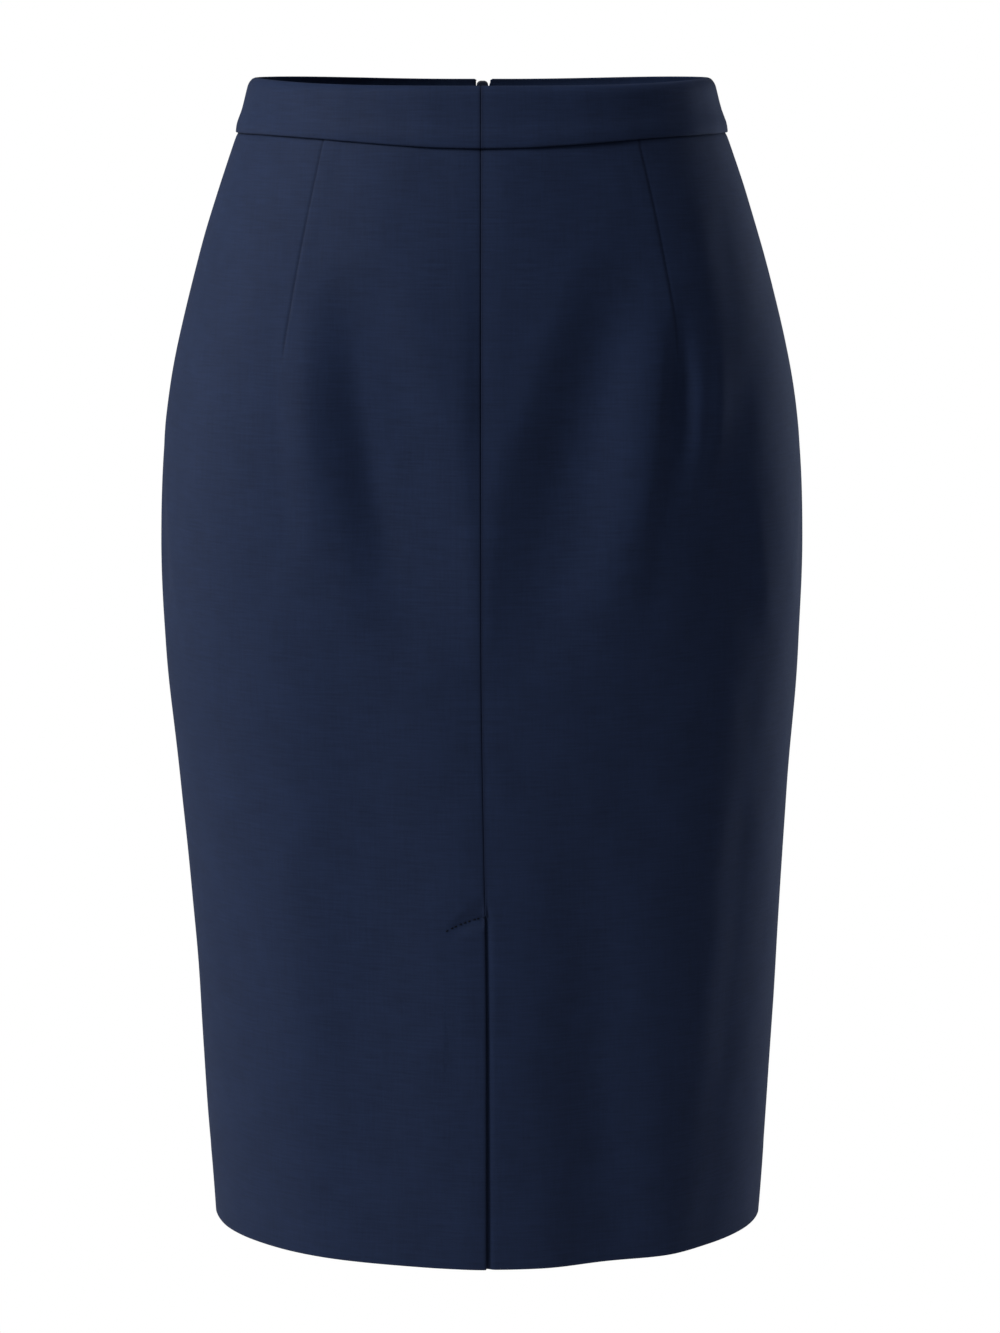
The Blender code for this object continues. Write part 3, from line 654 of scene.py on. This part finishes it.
def make_band(side, end):
    """Half the waistband, from the centre-front seam round to the zip."""
    roll, low_roll = BAND_ROLL, SEAM_ROLL
    # each row: how much of the top edge's level, of the lower edge's level, an
    # offset, its depth and the angle that the face has turned through
    rows = []
    for i in range(13):
        t = 1 - i / 12
        rows.append((1 - t, t, roll * (1 - t) + 0.0010 * t, 2 * roll, -math.pi))
    for i in range(1, 12):
        angle = -math.pi * (1 - i / 12)
        rows.append((1.0, 0.0, roll * (1 + math.sin(angle)), roll * (1 - math.cos(angle)), angle))
    for t in spaced(1.0, [(0.0, 0.018, 0.10), (1.0, 0.018, 0.10)], 0.055):
        rows.append((1 - t, t, roll * (1 - t) - low_roll * t, 0.0, 0.0))
    for i in range(1, 9):
        angle = math.pi * i / 8
        rows.append((0.0, 1.0, low_roll * (math.sin(angle) - 1), low_roll * (1 - math.cos(angle)), angle))
    rows += [(0.0, 1.0, -low_roll - 0.002 * i, 2 * low_roll, math.pi) for i in (1, 2)]
    rows = np.array(rows)
    of_top, of_low, offset, behind, turned = (rows[:, i][:, None] for i in range(5))

    start = [(SEAM_ROLL * (1 - math.sin(a)), SEAM_ROLL * (1 + math.cos(a)))
             for a in np.linspace(math.pi / 2, math.pi, 5)]
    finish = [(roll * (1 - math.cos(a)), 0.92 * roll * (1 - math.sin(a)))
              for a in np.linspace(math.pi / 2, 0, 6)]
    whole = sum(girth_at(band_form, face, np.array([BAND_MIDDLE]))[0] for face in ("front", "back"))
    shares = spaced(whole, [(0.0, 0.0006, 0.004), (whole, 0.0007, 0.004)], 0.0030)[1:-1] / whole
    depth = np.array([d for _, d in start] + [0.0] * len(shares) + [d for _, d in finish])[None, :]
    columns = depth.shape[1]

    def edges(shape_walk):
        """Top and lower levels of the band at walks from the centre-front seam."""
        level = np.full(shape_walk.shape, 0.0)
        front_girth = girth_at(band_form, "front", level)
        back = shape_walk > front_girth
        round_back = front_girth + girth_at(band_form, "back", level) - shape_walk
        front = on_form(band_form, 1, "front", level, np.clip(shape_walk, 0, front_girth), level)
        rear = on_form(band_form, 1, "back", level, np.clip(round_back, 0, None), level)
        share = np.clip(np.where(back, rear[..., 0], front[..., 0]) / BAND_SECTIONS[0]["half_width"], 0, 1)
        wave = 0.5 + 0.5 * np.cos(math.pi * share)
        top = np.where(back, BACK_TOP_DIP * wave, FRONT_TOP_DIP * (1 - share ** 4))
        low = BAND_HEIGHT + np.where(back, BACK_SEAM_DIP, FRONT_SEAM_DIP) * wave
        return top, low

    first = np.concatenate(([w for w, _ in start], shares * (whole - 0.002), [whole - 0.001] * len(finish)))
    top, low = edges(first)
    drop = of_top * top[None, :] + of_low * low[None, :] + offset
    front_girth, back_girth = (girth_at(band_form, face, drop) for face in ("front", "back"))
    below = drop - top[None, :]
    gap = table_curve(NOTCH, "below", end, below)
    reach = front_girth + back_girth - gap
    inner = SEAM_ROLL + (reach - SEAM_ROLL - roll) * np.concatenate(
        (np.zeros(len(start)), shares, np.ones(len(finish))))[None, :]
    walk = inner.copy()
    walk[:, :len(start)] = np.array([w for w, _ in start])[None, :]
    walk[:, -len(finish):] = reach[:, -len(finish):] - roll + np.array(
        [roll - w for w, _ in finish])[None, :]
    sink = depth * np.ones_like(drop)
    level = drop - sink * np.sin(turned)
    lift = -behind - sink * np.cos(turned)
    wobble = 0.00012 * np.sin(walk / 0.061 * 6.283 + side) + 0.00008 * np.sin(walk / 0.023 * 6.283)
    lift = lift + wobble * smooth(walk / 0.01) * smooth((reach - walk) / 0.01)
    # the cloth swells a little over the seam inside the lower edge, and the top edge
    # turns in
    swell = np.exp(-((low[None, :] - drop - 0.0045) / 0.0055) ** 2)
    lift = lift + BAND_SWELL * swell * (turned > -1)
    lift = lift - BAND_TURN_IN * np.clip((0.0055 - below) / 0.0055, 0, 1) ** 2.5
    on_back = walk > front_girth
    front = on_form(band_form, side, "front", level, np.where(on_back, 0.01, walk), lift)
    rear = on_form(band_form, side, "back", level,
                   np.where(on_back, front_girth + back_girth - walk, 0.01), lift)
    points = np.where(on_back[..., None], rear, front)
    flat = np.stack((walk, np.where(turned < -1.6, 0.08 - drop, drop)), axis=-1)
    # painted shade: the band is darkened at the centre-front seam and along the seam at its lower edge
    painted_seam_shade = np.exp(-(walk / 0.0011) ** 2) + 0.6 * np.exp(-((drop - low[None, :]) / 0.0009) ** 2)
    keep = np.ones((len(rows) - 1, columns - 1), dtype=bool)
    return cloth_object("waistband_%s_cloth" % end, points, flat, keep, side < 0, CLOTH,
                        np.clip(painted_seam_shade, 0, 1))


band_finish = suiting("waistband_suiting", NAVY_DARK, NAVY_LIGHT, BLOOM)
for end, side in (("right", -1), ("left", 1)):
    band = make_band(side, end)
    band.data.materials.append(band_finish)
    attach(band, "skirt")
    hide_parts("waistband_" + end)

# ---------------------------------------------------------------------------
# The concealed zip: two woven tapes with a row of nylon coil each, sewn behind
# the centre-back edges from the waistband down.
# ---------------------------------------------------------------------------
ZIP_LOW, TAPE_TOP, TAPE_WIDTH, TAPE_WALL = 0.205, 0.0140, 0.012, 0.0006
TAPE_BEHIND = 0.0022        # its face, behind the cloth's face
BAND_SEAM = 0.034           # the tapes follow the band above this and the skirt below
TAPE_ROWS, TAPE_COLUMNS = 95, 8
RIB_PITCH, RIB_TURN = 0.0006, 0.0012


def tape_finish():
    """Close herringbone tape, dark navy and matt."""
    material, shader, start = new_finish("zip_tape")
    flat = start.out("UVMap", {"uv_map": "cloth"})
    split = start.node("SeparateXYZ", i0=flat)
    across, down = (Value(start.tree, split.outputs[i]) for i in (0, 1))
    slant = down + start.sum("PINGPONG", across, RIB_TURN)
    rib = start.sum("SINE", slant * (math.tau / RIB_PITCH)) * 0.5 + 0.5
    fleck = start.out("TexNoise", i0=flat, scale=2200.0, detail=2.0)
    colour = (rib * 0.6 + fleck * 0.4).mix((0.0040, 0.0060, 0.0125, 1.0), (0.0110, 0.0160, 0.0330, 1.0))
    start.tree.links.new(colour.socket, shader.inputs["Base Color"])
    rough = 0.78 + fleck * 0.12
    start.tree.links.new(rough.socket, shader.inputs["Roughness"])
    bump = start.out("Bump", strength=0.5, distance=0.0001, height=rib)
    start.tree.links.new(bump.socket, shader.inputs["Normal"])
    return material


def behind_back(side, drop, walk, lift):
    """Points behind the centre-back edges, on the band and then on the skirt."""
    high, low = (on_form(form, side, "back", drop, walk, lift) for form in (band_form, skirt_form))
    return np.where((drop < BAND_SEAM)[..., None], high, low)


tape_material = tape_finish()
tape_drops = np.linspace(TAPE_TOP, ZIP_LOW, TAPE_ROWS + 1)
tape_walks = np.linspace(0.0003, TAPE_WIDTH, TAPE_COLUMNS + 1)
for end, side in (("right", -1), ("left", 1)):
    drop, walk = np.meshgrid(tape_drops, tape_walks, indexing="ij")
    hollow = -TAPE_BEHIND - 0.0004 * (1 - smooth((drop - 0.030) / 0.012))
    points = behind_back(side, drop, walk, hollow)
    tape = cloth_object("zip_tape_%s_cloth" % end, points, np.stack((walk, drop), axis=-1),
                        np.ones((TAPE_ROWS, TAPE_COLUMNS), dtype=bool), side > 0, TAPE_WALL,
                        np.zeros_like(drop))
    tape.data.materials.append(tape_material)
    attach(tape, "skirt")
    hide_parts("zip_tape_" + end)

# the coils that mesh behind the seam, sewn to the tapes' inner faces
COIL_PITCH, COIL_HALF_WIDTH, COIL_HALF_DEPTH, COIL_WIRE = 0.00125, 0.00125, 0.00070, 0.00028
COIL_TOP, COIL_LOW, COIL_STEPS = 0.0190, ZIP_LOW - 0.004, 12
coils = []
for side in (-1, 1):
    turns = (COIL_LOW - COIL_TOP) / COIL_PITCH
    angle = np.linspace(0, math.tau * turns, int(turns * COIL_STEPS))
    drop = COIL_TOP + COIL_PITCH * angle / math.tau + (COIL_PITCH / 2 if side > 0 else 0.0)
    walk = 0.00135 + COIL_HALF_WIDTH * np.cos(angle)
    hollow = -(TAPE_BEHIND + TAPE_WALL + COIL_HALF_DEPTH + COIL_WIRE) + COIL_HALF_DEPTH * np.sin(angle)
    coils.append(behind_back(side, drop, walk, hollow))
coil = thread_mesh("zip_coil", coils, COIL_WIRE)
coil_nylon = thread_finish("zip_coil_nylon", (0.0045, 0.0065, 0.0140), (0.0090, 0.0130, 0.0260), 0.35)
coil.data.materials.append(coil_nylon)
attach(coil, "skirt")

# ---------------------------------------------------------------------------
# The slider and its pull tab: die-cast and lacquered navy to match the cloth.
# ---------------------------------------------------------------------------


def lacquer():
    """Hard lacquer over die-cast metal, worn a little."""
    material, shader, start = new_finish("zip_lacquer")
    place = start.out("TexCoord", output=3)
    grain = start.out("TexNoise", i0=place, scale=1400.0, detail=3.0)
    colour = grain.mix((0.0050, 0.0075, 0.0170, 1.0), (0.0160, 0.0220, 0.0420, 1.0))
    start.tree.links.new(colour.socket, shader.inputs["Base Color"])
    rough = 0.26 + grain * 0.20
    start.tree.links.new(rough.socket, shader.inputs["Roughness"])
    shader.inputs["Coat Weight"].default_value = 0.4
    shader.inputs["Coat Roughness"].default_value = 0.15
    bump = start.out("Bump", strength=0.15, distance=0.0001, height=grain)
    start.tree.links.new(bump.socket, shader.inputs["Normal"])
    return material


zip_metal = lacquer()
for node in ("zip_slider", "zip_pull"):
    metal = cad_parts[node]
    metal.data.materials.clear()
    metal.data.materials.append(zip_metal)

# ---------------------------------------------------------------------------
# The studio: a pale floor well below the hem, soft light from the left front, a
# narrow blue light behind on the right, a weak one high on the right, and the
# camera a little above the waist.
# ---------------------------------------------------------------------------
for chosen in bpy.context.selected_objects:
    chosen.select_set(False)
FLOOR_LEVEL, FLOOR_RADIUS = -1.35, 1.5
bpy.ops.mesh.primitive_circle_add(vertices=96, radius=FLOOR_RADIUS, fill_type="NGON",
                                  location=(0, 0, FLOOR_LEVEL))
floor = bpy.context.active_object
floor.name = "floor"
floor_paint, floor_shader, _ = new_finish("floor_paint")
floor_shader.inputs["Base Color"].default_value = (0.80, 0.80, 0.80, 1.0)
floor_shader.inputs["Roughness"].default_value = 0.9
floor_shader.inputs["Emission Color"].default_value = (1.0, 1.0, 1.0, 1.0)
floor_shader.inputs["Emission Strength"].default_value = 0.30
floor.data.materials.append(floor_paint)


def area_light(name, place, aim, size, power, colour):
    """A soft rectangular light aimed at a point."""
    lamp = bpy.data.lights.new(name, "AREA")
    lamp.shape = "RECTANGLE"
    lamp.size, lamp.size_y = size
    lamp.energy = power
    lamp.color = colour
    light = bpy.data.objects.new(name, lamp)
    light.location = place
    light.rotation_euler = (Vector(aim) - Vector(place)).to_track_quat("-Z", "Y").to_euler()
    bpy.context.scene.collection.objects.link(light)


area_light("key", (-1.48, -1.00, 0.99), (0, 0, -0.30), (0.6, 1.2), 42, (1.0, 1.0, 0.97))
area_light("left", (-2.16, 0.38, -0.10), (0, 0, -0.30), (0.5, 1.4), 16, (1.0, 1.0, 0.97))
area_light("edge", (1.66, 1.39, -0.22), (0, 0, -0.35), (0.35, 1.4), 15, (0.60, 0.72, 1.0))
area_light("right_fill", (1.50, -0.62, 1.85), (0, 0, -0.25), (0.5, 0.5), 5, (0.80, 0.86, 1.0))

world = bpy.data.worlds.new("studio")
bpy.context.scene.world = world
world.use_nodes = True
sky = world.node_tree.nodes["Background"]
ray = world.node_tree.nodes.new("ShaderNodeLightPath")
seen = world.node_tree.nodes.new("ShaderNodeMix")
SKY_ON_CLOTH, SKY_BEHIND = 0.22, 1.0
seen.inputs[2].default_value = SKY_ON_CLOTH
seen.inputs[3].default_value = SKY_BEHIND
world.node_tree.links.new(ray.outputs["Is Camera Ray"], seen.inputs[0])
world.node_tree.links.new(seen.outputs[0], sky.inputs["Strength"])
sky.inputs["Color"].default_value = (1.0, 1.0, 1.0, 1.0)

EYE, LOOK_DOWN = (0.0097, -2.2, 0.0282), 8.878
eye = bpy.data.cameras.new("eye")
eye.lens = 111.2
eye.sensor_width = 36.0
camera = bpy.data.objects.new("eye", eye)
camera.location = EYE
camera.rotation_euler = (math.radians(90 - LOOK_DOWN), 0, 0)
bpy.context.scene.collection.objects.link(camera)
bpy.context.scene.camera = camera
bpy.context.scene.view_settings.view_transform = "Standard"

bpy.context.view_layer.update()
